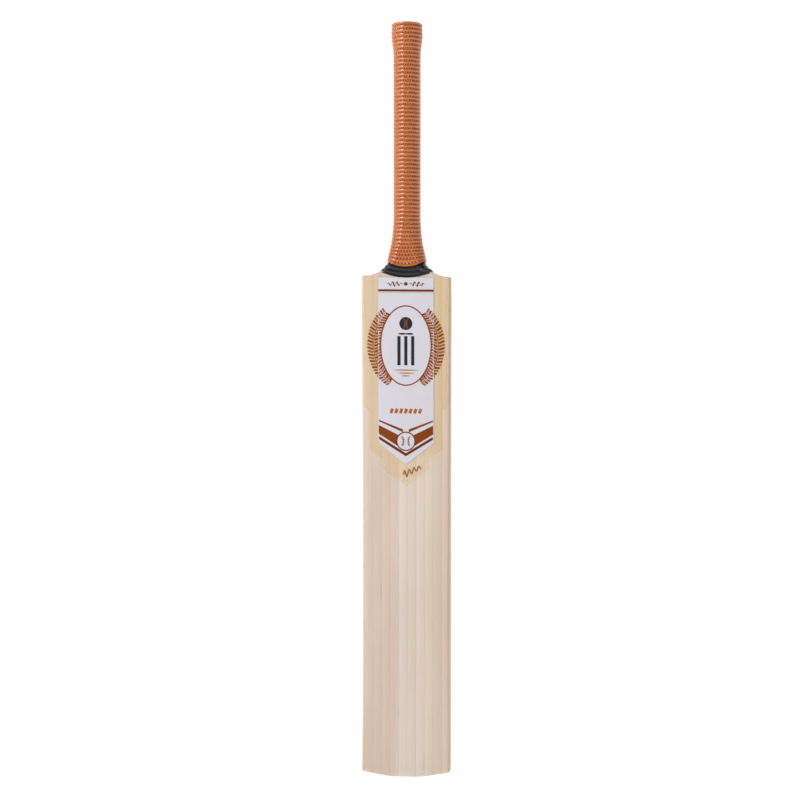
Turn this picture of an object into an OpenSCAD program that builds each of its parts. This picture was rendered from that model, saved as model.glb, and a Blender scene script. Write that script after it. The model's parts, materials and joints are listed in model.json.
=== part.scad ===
// Cricket bat: willow blade with a spliced cane handle, rubber grip, binding, label and face film.
// Units are mm. +Z runs up the handle, the hitting face looks to -Y, and z = 0 is the toe.

/* [Overall] */
// Length from the toe to the top of the grip
bat_length = 876; // [860:1:890]
// Height of the shoulders above the toe
shoulder_z = 580.5; // [574:0.5:582]
// Width of the blade at its shoulders
blade_w = 104.4; // [98:0.2:108]

/* [Blade] */
// Thickness through the spine at the swell
swell_t = 62; // [54:1:66]
// Thickness of the edges at the swell
edge_t = 38; // [32:1:40]
// How much each edge of the blade draws in at the swell
waist = 1.7; // [0:0.1:3]
// How far the face bulges forward between its edges
face_camber = 1.2; // [0.4:0.1:2]
// Rise of the toe from its middle to its corners
toe_rise = 6.2; // [3:0.1:9]
// Width of the straight part in the middle of the toe
toe_flat = 24; // [16:1:40]

/* [Splice] */
// Height of the bottom tip of the V splice
splice_tip_z = 422; // [405:1:450]
// Half width of the V splice where the willow horns end
splice_half_w = 18.9; // [18.2:0.1:19]

/* [Handle] */
// Half width of the bare cane handle
cane_r = 12.8; // [11.8:0.1:13.4]
// Extra half depth that makes the handle oval
cane_oval = 1.7; // [1:0.1:2.4]
// Thickness of each rubber spring
spring_t = 1.5; // [1:0.1:2]
// Distance from the middle of the handle to each side spring
spring_x = 8.2; // [7.4:0.1:8.8]
// Half thickness of the middle layer of cane strips
middle_y = 6; // [5:0.2:7]

/* [Wrapping] */
// Thickness of the twine wound round the cane
twine_t = 0.6; // [0.4:0.1:0.8]
// Thickness of the rubber grip between its rings
grip_wall = 1.2; // [0.9:0.1:1.5]
// Height of the rings on the grip
ring_h = 1.4; // [0.6:0.1:1.6]
// Distance from one ring to the next
ring_pitch = 4.64; // [4.2:0.02:6]
// Thickness of the dark binding over the neck
binding_t = 0.6; // [0.4:0.1:0.8]

/* [Face] */
// Width of the label
label_w = 64.8; // [58:0.2:72]
// Height of the label's side edges above the toe
label_side_z = 387; // [370:1:400]
// Height of the label's pointed tip
label_tip_z = 362; // [350:1:366]
// Thickness of the label
label_t = 0.3; // [0.2:0.05:0.4]
// Thickness of the clear film under the label
film_t = 0.3; // [0.2:0.05:0.4]
// Height of the film's pointed tip
film_tip_z = 336.8; // [325:0.2:345]

/* [Hidden] */
$fn = 64;
over = 60; // reaches past the bat on every side
horn_z = shoulder_z + 18.5; // tops of the willow horns beside the cane
flare_z = 650; // the handle is straight from here up
blade_hw = blade_w / 2;
cane_top_z = bat_length - 3.5;
front_steps = 6;
back_steps = 12;
arc_steps = 5;
toe_steps = 8;

neck_w = cane_r + 6.9; // half width of the cane where the horns end
cane_y = cane_r + cane_oval;

// Stations up the bat, one row each:
// [z, half width, face y, spine thickness, edge thickness, front radius, back radius, camber]
stations = [
    [0, blade_hw - 2.3, -17.6, 22, 18.5, 2.6, 2.6, 0.6],
    [1.5, blade_hw - 1.5, -18.9, 25.8, 20.6, 3, 2.8, 0.8],
    [5, blade_hw - 1.1, -19.7, 29.4, 22.8, 3.2, 3, face_camber],
    [14, blade_hw - waist * 0.6, -19.4, 33, 25.2, 3.4, 3, face_camber],
    [35, blade_hw - waist * 0.65, -18.8, 39.4, 28.7, 3.4, 3, face_camber],
    [70, blade_hw - waist * 0.8, -17.9, swell_t - 14, edge_t - 6, 3.4, 3, face_camber],
    [110, blade_hw - waist * 0.9, -17, swell_t - 7, edge_t - 2.8, 3.4, 3, face_camber],
    [155, blade_hw - waist, -16.3, swell_t - 2, edge_t - 0.6, 3.4, 3, face_camber],
    [205, blade_hw - waist, -15.7, swell_t, edge_t, 3.4, 3, face_camber],
    [255, blade_hw - waist, -15.3, swell_t - 1.4, edge_t - 0.6, 3.4, 3, face_camber],
    [305, blade_hw - waist * 0.9, -15.1, swell_t - 5, edge_t - 2.4, 3.4, 3, face_camber],
    [355, blade_hw - waist * 0.75, -15, swell_t - 10, edge_t - 5.4, 3.4, 3, face_camber],
    [405, blade_hw - waist * 0.58, -15.1, swell_t - 15.5, edge_t - 9, 3.4, 3, face_camber],
    [455, blade_hw - waist * 0.38, -15.3, swell_t - 20.6, edge_t - 12.6, 3.4, 3, face_camber],
    [505, blade_hw - waist * 0.2, -15.6, swell_t - 25.4, edge_t - 16, 3.4, 3, face_camber],
    [550, blade_hw, -16, swell_t - 28.8, edge_t - 18.8, 3.4, 3, face_camber],
    [shoulder_z, blade_hw - 0.4, -16.2, swell_t - 30.2, edge_t - 20, 3.4, 3, face_camber],
    [shoulder_z + 0.7, 41, -16.2, swell_t - 30.3, edge_t - 16.8, 3.6, 3.2, 1],
    [shoulder_z + 2.8, 36.2, -16.2, swell_t - 30.4, edge_t - 14.6, 4, 4, 0.8],
    [shoulder_z + 6, 29.4, -16.2, swell_t - 30.5, edge_t - 11.4, 5, 5, 0.6],
    [shoulder_z + 11, 24.2, -16.1, swell_t - 30.7, edge_t - 8.8, 6.6, 6.6, 0.3],
    [horn_z, neck_w, -16, 31, 30.6, 8.4, 8.4, 0.15],
    [horn_z + 6, neck_w - 1, -15.7, 30.6, 30.3, 9.6, 9.6, 0.15],
    [horn_z + 12, neck_w - 2.2, -15.4, 30.2, 29.9, 10.6, 10.6, 0.15],
    [horn_z + 22, cane_r + 2.6, -15, 29.7, 29.5, 11.2, 11.2, 0.1],
    [horn_z + 36, cane_r + 1, -14.7, 29.3, 29.1, 11.6, 11.6, 0.1],
    [flare_z, cane_r, -cane_y, 2 * cane_y, 2 * cane_y - 0.2, cane_r - 1.2, cane_r - 1.2, 0.1]
];

function pick(from_z, to_z) = [for (s = stations) if (s[0] > from_z - 0.01 && s[0] < to_z + 0.01) s];
function arc(cx, cy, r, a0) = [for (i = [0:arc_steps])
    [cx + r * cos(a0 + 90 * i / arc_steps), cy + r * sin(a0 + 90 * i / arc_steps)]];
function ridge(t) = 0.3 * (1 + cos(180 * t)) + 0.4 * (1 - t);

// Outline of one station: face, right corners, back with its spine, left corners.
function outline(s, off) = let (
    hw = s[1] + off, yf = s[2] - off, rf = s[5] + off, rb = s[6] + off, cam = s[7],
    ye = yf + s[4] + 2 * off, rise = s[3] - s[4], fx = hw - rf, bx = hw - rb)
    concat(
        [for (i = [0:front_steps]) let (x = -fx + 2 * fx * i / front_steps) if (i > 0 && i < front_steps)
            [x, yf - cam * (1 - (x / hw) * (x / hw)) + cam * (1 - (fx / hw) * (fx / hw))]],
        arc(fx, yf + rf, rf, -90),
        arc(bx, ye - rb, rb, 0),
        [for (i = [1:back_steps - 1]) let (x = bx - 2 * bx * i / back_steps)
            [x, ye + rise * ridge(abs(x) / bx)]],
        arc(-bx, ye - rb, rb, 90),
        arc(-fx, yf + rf, rf, 180));

// Solid through a list of stations, bottom to top.
module loft(list, off = 0) {
    rings = [for (s = list) [for (p = outline(s, off)) [p[0], p[1], s[0]]]];
    n = len(rings[0]);
    m = len(rings);
    polyhedron(
        points = [for (r = rings) each r],
        faces = concat(
            [[for (i = [0:n - 1]) i]],
            [for (j = [0:m - 2]) for (i = [0:n - 1]) [j * n + i, (j + 1) * n + (i + 1) % n, j * n + (i + 1) % n]],
            [for (j = [0:m - 2]) for (i = [0:n - 1]) [j * n + i, (j + 1) * n + i, (j + 1) * n + (i + 1) % n]],
            [[for (i = [0:n - 1]) (m - 1) * n + n - 1 - i]]));
}

// Front-view outline pushed through the whole depth of the bat.
module through(points) {
    translate([0, over, 0]) rotate([90, 0, 0]) linear_extrude(height = 2 * over) polygon(points);
}

// Oval of the straight part of the handle.
module oval(off) {
    union() {
        translate([0, cane_oval]) circle(r = cane_r + off);
        translate([0, -cane_oval]) circle(r = cane_r + off);
        square([2 * (cane_r + off), 2 * cane_oval], center = true);
    }
}

module oval_bar(off, from_z, to_z) {
    translate([0, 0, from_z]) linear_extrude(height = to_z - from_z) oval(off);
}

function toe_line(x) = abs(x) <= toe_flat / 2 ? 0
    : toe_rise * pow((abs(x) - toe_flat / 2) / (blade_hw - toe_flat / 2), 1.35);
toe_side = [for (i = [0:toe_steps]) let (x = toe_flat / 2 + (blade_hw + 1 - toe_flat / 2) * i / toe_steps)
    [x, toe_line(x)]];
toe_outline = concat(
    toe_side,
    [[blade_hw + 1, horn_z + 5], [-blade_hw - 1, horn_z + 5]],
    [for (i = [toe_steps:-1:0]) [-toe_side[i][0], toe_side[i][1]]]);
// V outline from the splice tip, carried on at the same slope to reach times its height.
function splice_v(reach) = let (top_z = splice_tip_z + reach * (horn_z - splice_tip_z))
    [[0, splice_tip_z], [reach * splice_half_w, top_z], [-reach * splice_half_w, top_z]];

module blade() {
    color("burlywood") difference() {
        intersection() {
            loft(pick(0, horn_z));
            through(toe_outline);
        }
        through(splice_v(1.2));
    }
}

// The whole cane: V wedge, flare and straight handle.
module cane_core() {
    union() {
        intersection() {
            loft(pick(405, horn_z));
            through(splice_v(1));
        }
        loft(pick(horn_z, flare_z));
        oval_bar(0, flare_z, cane_top_z);
    }
}

// The springs start where the V is wide enough to hold them.
centre_spring_z = splice_tip_z + 52;
side_spring_z = splice_tip_z + 112;

module spring_slot(x, from_z) {
    translate([x - spring_t / 2, -over / 2, from_z])
        cube([spring_t, over * 1.5, cane_top_z + 1 - from_z]);
}

// One cane strip: between two heights in x and two in y.
module cane_strip(x0, x1, y0, y1) {
    color("tan") difference() {
        intersection() {
            cane_core();
            translate([x0, y0, splice_tip_z - 1]) cube([x1 - x0, y1 - y0, bat_length - splice_tip_z]);
        }
        spring_slot(0, centre_spring_z);
        spring_slot(spring_x, side_spring_z);
        spring_slot(-spring_x, side_spring_z);
    }
}

module cane_left_outer_front() { cane_strip(-over, -spring_x, -over, -middle_y); }
module cane_left_outer_middle() { cane_strip(-over, -spring_x, -middle_y, middle_y); }
module cane_left_outer_back() { cane_strip(-over, -spring_x, middle_y, over); }
module cane_left_inner_front() { cane_strip(-spring_x, 0, -over, -middle_y); }
module cane_left_inner_middle() { cane_strip(-spring_x, 0, -middle_y, middle_y); }
module cane_left_inner_back() { cane_strip(-spring_x, 0, middle_y, over); }
module cane_right_inner_front() { cane_strip(0, spring_x, -over, -middle_y); }
module cane_right_inner_middle() { cane_strip(0, spring_x, -middle_y, middle_y); }
module cane_right_inner_back() { cane_strip(0, spring_x, middle_y, over); }
module cane_right_outer_front() { cane_strip(spring_x, over, -over, -middle_y); }
module cane_right_outer_middle() { cane_strip(spring_x, over, -middle_y, middle_y); }
module cane_right_outer_back() { cane_strip(spring_x, over, middle_y, over); }

module spring_strip(x, from_z) {
    color("dimgray") intersection() {
        cane_core();
        spring_slot(x, from_z);
    }
}

module spring_left() { spring_strip(-spring_x, side_spring_z); }
module spring_centre() { spring_strip(0, centre_spring_z); }
module spring_right() { spring_strip(spring_x, side_spring_z); }

twine_z = horn_z + 6;

module twine_sleeve() {
    color("wheat") union() {
        difference() {
            loft(pick(twine_z, flare_z), twine_t);
            loft(pick(twine_z, flare_z));
        }
        difference() {
            oval_bar(twine_t, flare_z, cane_top_z);
            oval_bar(0, flare_z - 1, cane_top_z + 1);
        }
    }
}

binding_outline = concat(
    [for (i = [-8:8]) let (x = i * 4) [x, shoulder_z - 2.6 + 8.2 * pow(abs(x) / 30, 1.7)]],
    [[32, twine_z], [-32, twine_z]]);

module neck_binding() {
    color([0.12, 0.12, 0.15]) difference() {
        intersection() {
            loft(pick(550, twine_z), binding_t);
            through(binding_outline);
        }
        loft(pick(550, twine_z));
    }
}

// The grip widens smoothly into a lip below lip_z. Its side profile is measured from the centre of
// each round end of the oval, with one trapezoid tooth per ring.
lip_z = bat_length - 14;
lip_rise = 2.2;
lip_run = 22;
valley_r = cane_r + twine_t + grip_wall;
ring_count = floor((bat_length - 6 - flare_z) / ring_pitch);
function lip(z) = z < lip_z - lip_run ? 0
    : lip_rise * pow(sin(90 * min(1, (z - lip_z + lip_run) / lip_run)), 2);
function grip_r(z) = valley_r + lip(z);
ring_rise = [[-1.6, 0], [-0.8, 1], [0.8, 1], [1.6, 0]];
grip_side = concat(
    [[valley_r, flare_z]],
    [for (k = [0:ring_count - 1]) for (q = ring_rise)
        let (z = flare_z + ring_pitch * (k + 0.5) + q[0]) [grip_r(z) + ring_h * q[1], z]],
    [[grip_r(bat_length) + 0.4, bat_length - 1.2], [grip_r(bat_length) - 0.4, bat_length], [cane_r - 5, bat_length]]);
grip_half = concat(grip_side, [[0, bat_length], [0, flare_z]]);
grip_full = concat(grip_side, [for (i = [len(grip_side) - 1:-1:0]) [-grip_side[i][0], grip_side[i][1]]]);

module grip_body() {
    union() {
        translate([0, -cane_oval, 0]) rotate([0, 0, 180]) rotate_extrude(angle = 180) polygon(grip_half);
        translate([0, cane_oval, 0]) rotate_extrude(angle = 180) polygon(grip_half);
        translate([0, cane_oval, 0]) rotate([90, 0, 0]) linear_extrude(height = 2 * cane_oval) polygon(grip_full);
    }
}

// Rows for the flared part: the cane's own outline pushed out to the top or bottom of each ring.
grip_bottom_z = horn_z - 7.5;
flare_rings = ceil((flare_z - grip_bottom_z) / ring_pitch);
function mix_row(z) = let (s = stations, i = max([for (k = [0:len(s) - 2]) s[k][0] <= z ? k : 0]),
    u = min(1, (z - s[i][0]) / (s[i + 1][0] - s[i][0])))
    [for (c = [0:7]) c == 0 ? z : s[i][c] + (s[i + 1][c] - s[i][c]) * u];
function grow(s, by) = [s[0], s[1] + by, s[2] - by, s[3] + 2 * by, s[4] + 2 * by, s[5] + by, s[6] + by, s[7]];
flare_rows = concat(
    [for (k = [0:flare_rings - 1]) for (q = ring_rise)
        let (z = flare_z - ring_pitch * (flare_rings - k - 0.5) + q[0]) grow(mix_row(z), grip_wall + twine_t + ring_h * q[1])],
    [grow(mix_row(flare_z), grip_wall + twine_t)]);
grip_hem = [for (i = [-10:10]) let (x = i * 2.6) [x, horn_z - 7 + 6.8 * pow(x / 22, 2)]];

module rubber_grip() {
    color("peru") union() {
        difference() {
            grip_body();
            oval_bar(twine_t, flare_z - 1, cane_top_z);
            oval_bar(-5, flare_z, bat_length + 1);
        }
        difference() {
            intersection() {
                loft(flare_rows);
                through(concat(grip_hem, [[26, flare_z + 1], [-26, flare_z + 1]]));
            }
            loft(pick(shoulder_z + 6, flare_z), twine_t);
        }
    }
}

// Thin sheet lying on the face between two offsets, cut to a front-view outline.
module face_sheet(points, inner, outer) {
    intersection() {
        difference() {
            loft(pick(305, shoulder_z), outer);
            loft(pick(305, shoulder_z), inner);
        }
        translate([0, -8, 0]) rotate([90, 0, 0]) linear_extrude(height = over) polygon(points);
    }
}

sheet_top_z = shoulder_z - 2;
label_outline = [[-label_w / 2, sheet_top_z], [-label_w / 2, label_side_z], [0, label_tip_z],
    [label_w / 2, label_side_z], [label_w / 2, sheet_top_z]];
film_hw = blade_hw - 4.6;
film_step = film_tip_z + 20;
film_outline = [[-film_hw, sheet_top_z + 1], [-film_hw, film_tip_z + 93], [-42.5, film_tip_z + 87.5],
    [-42.5, film_tip_z + 43], [-27.3, film_step + 11.5], [-27.3, film_step], [0, film_tip_z],
    [27.3, film_step], [27.3, film_step + 11.5], [42.5, film_tip_z + 43],
    [42.5, film_tip_z + 87.5], [film_hw, film_tip_z + 93], [film_hw, sheet_top_z + 1]];

module clear_film() {
    color([0.95, 0.9, 0.8, 0.4]) face_sheet(film_outline, 0, film_t);
}

module face_label() {
    color("gainsboro") face_sheet(label_outline, film_t, film_t + label_t);
}

blade();
cane_left_outer_front();
cane_left_outer_middle();
cane_left_outer_back();
cane_left_inner_front();
cane_left_inner_middle();
cane_left_inner_back();
cane_right_inner_front();
cane_right_inner_middle();
cane_right_inner_back();
cane_right_outer_front();
cane_right_outer_middle();
cane_right_outer_back();
spring_left();
spring_centre();
spring_right();
twine_sleeve();
neck_binding();
rubber_grip();
face_label();
clear_film();
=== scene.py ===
import json
import math

import bmesh
import bpy
import numpy as np
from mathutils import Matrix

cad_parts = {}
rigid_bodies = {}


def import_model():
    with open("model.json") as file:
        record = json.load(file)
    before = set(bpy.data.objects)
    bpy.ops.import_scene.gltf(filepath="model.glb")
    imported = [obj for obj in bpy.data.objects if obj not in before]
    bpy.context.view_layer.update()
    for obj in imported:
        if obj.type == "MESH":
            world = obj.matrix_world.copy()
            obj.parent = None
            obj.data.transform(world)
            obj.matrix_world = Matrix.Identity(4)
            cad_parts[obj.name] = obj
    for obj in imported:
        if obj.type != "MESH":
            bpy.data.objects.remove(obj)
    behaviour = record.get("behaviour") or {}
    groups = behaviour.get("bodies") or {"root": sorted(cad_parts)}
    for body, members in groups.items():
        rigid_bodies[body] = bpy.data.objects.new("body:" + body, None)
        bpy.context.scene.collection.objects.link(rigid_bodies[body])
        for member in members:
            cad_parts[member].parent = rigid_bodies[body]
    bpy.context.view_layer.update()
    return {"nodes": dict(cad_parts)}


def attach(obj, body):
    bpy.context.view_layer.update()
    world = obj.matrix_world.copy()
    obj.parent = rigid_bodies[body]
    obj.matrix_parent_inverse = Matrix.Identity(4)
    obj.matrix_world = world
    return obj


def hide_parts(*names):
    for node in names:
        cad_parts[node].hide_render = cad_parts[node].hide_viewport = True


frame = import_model()
mm = 0.001
rng = np.random.default_rng(7)

# Heights, half widths and depths in millimetres, z up from the toe, the hitting face at negative y.
bat = {
    "length": 876.0,
    "halfWide": 52.2,  # where the blade is widest
    "caneTop": 872.5,
    "spliceTip": 422.0,
    "spliceTop": 598.0,
    "spliceHalf": 18.9,
    "ridgeHalf": 48.0,  # from the spine out to the foot of the hill on the back
    "toeRise": 6.0,
    "toeFlat": 12.0,
    "toeFade": 40.0,  # the toe's curve dies away over this height
    "leanDeg": 1.2,  # the shoulders were cut a touch out of square
}
# The body from toe to grip: y of the face, thickness through the spine and thickness of the edges.
bodyZ = np.array([0, 1.5, 5, 14, 35, 70, 110, 155, 205, 255, 305, 355, 405, 455, 505, 550, 580.7,
                  586.2, 591.7, 598, 604, 610, 620, 634, 650, 880.0])
bodyFace = np.array([-17.6, -18.9, -19.7, -19.4, -18.8, -17.9, -17, -16.3, -15.7, -15.3, -15.1, -15,
                     -15.1, -15.3, -15.6, -16, -16.2, -16.2, -16.1, -16, -15.7, -15.4, -15, -14.7,
                     -14.5, -14.5])
bodySpine = np.array([22, 25.8, 29.4, 33, 39.4, 48, 55, 60, 62, 60.6, 57, 52, 46.5, 41.4, 36.6, 33.2,
                      31.8, 31.5, 31.3, 31, 30.6, 30.2, 29.7, 29.3, 29, 29])
bodyEdge = np.array([18.5, 20.6, 22.8, 25.2, 28.7, 32, 35.2, 37.4, 38, 37.4, 35.6, 32.6, 29, 25.4, 22,
                     19.2, 18, 20.5, 25, 30, 30.3, 29.9, 29.5, 29.1, 29, 29])
# Half width, radius of the long corners, and bulge of the face.
widthZ = np.array([0, 0.7, 1.5, 3, 5, 14, 35, 70, 110, 155, 205, 255, 305, 355, 405, 455, 505, 550,
                   578.8, 579.8, 580.3, 580.6, 580.75, 580.95, 581.3, 581.9, 582.6, 583.5, 585.1, 586.6,
                   589, 591.4, 595.6, 598, 604, 610, 620, 634, 650, 880])
widthHalf = np.array([50.8, 51.1, 51.2, 51.2, 51.2, 51.2, 51.1, 50.85, 50.7, 50.5, 50.5, 50.5, 50.7, 50.9,
                      51.2, 51.55, 51.85, 52.2, 52.1, 51.9, 51.4, 50.5, 48.5, 45.3, 42.4, 40, 37.9, 36.2,
                      32.4, 29.6, 26.9, 24.4, 21.2, 19.7, 18.7, 17.5, 15.4, 13.8, 12.8, 12.8])
cornerZ = np.array([0, 5, 14, 578.2, 580.7, 583.5, 586.7, 591.7, 598, 604, 610, 620, 634, 650, 880])
cornerR = np.array([2.2, 2.8, 3.4, 3.2, 2.4, 4, 5, 6.6, 8.4, 9.6, 10.6, 11.4, 12.2, 12.75, 12.75])
camberZ = np.array([0, 5, 560, 598, 640, 880])
camberRise = np.array([0.6, 1.2, 1.2, 0.15, 0, 0])


def smoothAlong(z, knotsZ, values):
    # Hermite curve through the knots, with each knot's slope taken from its neighbours.
    slopes = np.gradient(values, knotsZ)
    i = np.clip(np.searchsorted(knotsZ, z, side="right") - 1, 0, len(knotsZ) - 2)
    h = knotsZ[i + 1] - knotsZ[i]
    t = (z - knotsZ[i]) / h
    return ((2 * t**3 - 3 * t**2 + 1) * values[i] + (t**3 - 2 * t**2 + t) * h * slopes[i]
            + (3 * t**2 - 2 * t**3) * values[i + 1] + (t**3 - t**2) * h * slopes[i + 1])


def halfWidth(z):
    # Half the bat's width, in straight lines between its knots.
    return np.interp(z, widthZ, widthHalf)


def cornerRadius(z):
    # Radius of the four long corners, in straight lines between its knots.
    return np.interp(z, cornerZ, cornerR)


def spliceHalf(z):
    # Half width of the V splice: nothing at its tip, growing in a straight line to the horns.
    grow = (z - bat["spliceTip"]) / (bat["spliceTop"] - bat["spliceTip"])
    return bat["spliceHalf"] * np.clip(grow, 0, None)


def spliceStart(x):
    # The other way round: the height at which the V splice is wide enough to reach x.
    grow = x / bat["spliceHalf"]
    return bat["spliceTip"] + grow * (bat["spliceTop"] - bat["spliceTip"])


def cornerDrop(x, z, half=None):
    # How far a round corner falls away at x: radius minus the circle's height there.
    half = halfWidth(z) if half is None else half
    r = cornerRadius(z)
    past = np.clip(np.abs(x) - (half - r), 0, r)
    return r - np.sqrt(np.maximum(r**2 - past**2, 0))


def frontY(x, z):
    # Flat of the face, bowed along z, with no corners. It bulges forward by a parabola across x that
    # meets the flat at 0.934 of the half width, whose square is 0.872.
    camber = np.interp(z, camberZ, camberRise)
    return smoothAlong(z, bodyZ, bodyFace) - camber * (0.872 - (x / bat["halfWide"]) ** 2)


def backY(x, z):
    # Back of the blade: a cosine hill with a slight ridge on top of the edges.
    spine = smoothAlong(z, bodyZ, bodySpine)
    edge = smoothAlong(z, bodyZ, bodyEdge)
    t = np.clip(np.abs(x) / bat["ridgeHalf"], 0, 1)
    hill = 0.3 * (1 + np.cos(math.pi * t)) + 0.4 * (1 - t)
    return smoothAlong(z, bodyZ, bodyFace) + edge + (spine - edge) * hill


def toeLine(x):
    # Height of the toe: flat in the middle, then rising with the distance to the power 1.35.
    past = np.clip(np.abs(x) - bat["toeFlat"], 0, None) / (bat["halfWide"] - bat["toeFlat"])
    return bat["toeRise"] * past**1.35


def leaning(points):
    # Heights at the shoulders fall to the right by the sine of the lean times x, which fades in
    # from z 545 to 575 and out again from z 588 to 600.
    z = points[..., 2]
    weight = np.clip((z - 545) / 30, 0, 1) * np.clip((600 - z) / 12, 0, 1)
    fall = points[..., :1] * math.sin(math.radians(bat["leanDeg"])) * weight[..., None]
    return points - fall * np.array([0, 0, 1])


def gridFaces(rows, cols, closeRows=False, closeCols=False):
    # Quads of a grid of rows by cols points, wrapped round where it is closed.
    r = np.arange(rows if closeRows else rows - 1)
    c = np.arange(cols if closeCols else cols - 1)
    r, c = np.meshgrid(r, c, indexing="ij")
    r2, c2 = (r + 1) % rows, (c + 1) % cols
    quads = np.stack([r * cols + c, r * cols + c2, r2 * cols + c2, r2 * cols + c], axis=-1)
    return quads.reshape(-1, 4)


def sheetParts(front, back):
    # A closed slab between two grids of the same size: both grids, and a wall round their rim.
    rows, cols = front.shape[:2]
    points = np.concatenate([front.reshape(-1, 3), back.reshape(-1, 3)])
    n = rows * cols
    index = np.arange(n).reshape(rows, cols)
    rim = np.concatenate([index[0, :], index[1:, -1], index[-1, -2::-1], index[-2:0:-1, 0]])
    following = np.roll(rim, -1)
    faces = gridFaces(rows, cols)
    wall = np.stack([following, rim, rim + n, following + n], axis=-1)
    return points, np.concatenate([faces, faces[:, ::-1] + n, wall])


def joinParts(parts):
    # Several (points, faces) pairs as one.
    points, faces, start = [], [], 0
    for p, f in parts:
        points.append(p)
        faces.append(f + start)
        start += len(p)
    return np.concatenate(points), np.concatenate(faces)


def addPiece(name, points, faces, material, merge=0.0, sharp=40, heights=None):
    # Puts the points, given in millimetres, and the faces into a new object at the origin. Points
    # closer than merge become one, and edges sharper than sharp degrees stay crisp.
    mesh = bpy.data.meshes.new(name)
    mesh.from_pydata((points * mm).tolist(), [], faces.tolist())
    # heights go on the points as ringHeight, which the grip's material reads to paint shade into its pits.
    if heights is not None:
        mesh.attributes.new("ringHeight", "FLOAT", "POINT").data.foreach_set("value", heights)
    bm = bmesh.new()
    bm.from_mesh(mesh)
    if merge:
        bmesh.ops.remove_doubles(bm, verts=bm.verts, dist=merge * mm)
        bmesh.ops.dissolve_degenerate(bm, edges=bm.edges, dist=merge * mm)
    bmesh.ops.recalc_face_normals(bm, faces=bm.faces)
    for edge in bm.edges:
        edge.smooth = edge.calc_face_angle(0) < math.radians(sharp)
    bm.to_mesh(mesh)
    bm.free()
    mesh.polygons.foreach_set("use_smooth", [True] * len(mesh.polygons))
    mesh.materials.append(material)
    obj = bpy.data.objects.new(name, mesh)
    bpy.context.scene.collection.objects.link(obj)
    return obj


def srgb(code):
    # Linear colour, with alpha 1, from an sRGB hex code.
    parts = [int(code[i:i + 2], 16) / 255 for i in (1, 3, 5)]
    return [c / 12.92 if c <= 0.04045 else ((c + 0.055) / 1.055) ** 2.4 for c in parts] + [1]


def addNode(material, kind, links=None, out=0, stops=None, **settings):
    # Adds one node with its settings and gives back one of its outputs. links gives each input, by
    # name or number, a socket to join or a value. stops are (place, hex or linear colour) pairs.
    node = material.node_tree.nodes.new(kind)
    for key, value in settings.items():
        setattr(node, key, value)
    for key, value in (links or {}).items():
        if isinstance(value, bpy.types.NodeSocket):
            material.node_tree.links.new(value, node.inputs[key])
        else:
            node.inputs[key].default_value = value
    if stops:
        stops = [(place, srgb(code) if isinstance(code, str) else code) for place, code in stops]
        band = node.color_ramp.elements
        for place, colour in stops[1:-1]:
            band.new(place).color = colour
        band[0].position, band[0].color = stops[0]
        band[-1].position, band[-1].color = stops[-1]
    return node.outputs[out]


def newMaterial(name, sockets):
    # A material and its Principled shader, with plain values set on the shader's own sockets.
    material = bpy.data.materials.new(name)
    material.use_nodes = True
    shader = material.node_tree.nodes["Principled BSDF"]
    for key, value in sockets.items():
        shader.inputs[key].default_value = value
    return material, shader


def stretchedNoise(material, place, scale, detail=2.0, roughness=0.5):
    # Noise stretched by a different scale on each axis, as fibres are along the grain.
    stretched = addNode(material, "ShaderNodeMapping", {"Vector": place, "Scale": scale})
    return addNode(material, "ShaderNodeTexNoise", {"Vector": stretched, "Scale": 1.0, "Detail": detail,
                                                    "Roughness": roughness})


# Settings of a mix node for two colours, which go in at 6 and 7; its third output is the colour.
multiplied = {"out": 2, "data_type": "RGBA", "blend_type": "MULTIPLY"}
mixed = {"out": 2, "data_type": "RGBA", "blend_type": "MIX"}
willow = {
    "grainMm": 10.0,  # distance between growth lines
    "wanderMm": 1.5,  # how far a growth line strays
    "firstLine": 0.93,  # moves all the growth lines across, in line distances
    "leanPerM": 8.0,  # line distances that the lines move across for each metre of depth
    "fresh": "#ded5d0",  # just after a growth line
    "middle": "#ddd4cd",
    "late": "#dad0c8",  # just before the next one
    "line": "#d4c0ae",
    "years": ("#faf8f5", "#ffffff"),  # tones of the darkest and the palest year
    "sides": [(0.0, "#faf1ea"), (0.37, "#f9f0e9"), (0.42, "#ffffff"), (0.55, "#fefdf9"),
              (1.0, "#fbf0e2")],  # heartwood and sapwood, from the left edge to the right
    "widthPerM": 9.6,  # one over the blade's width
    "fibres": "#f5f0eb",
    "clouds": "#f6efe8",
    "stain": "#c2906a",
}


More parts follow.
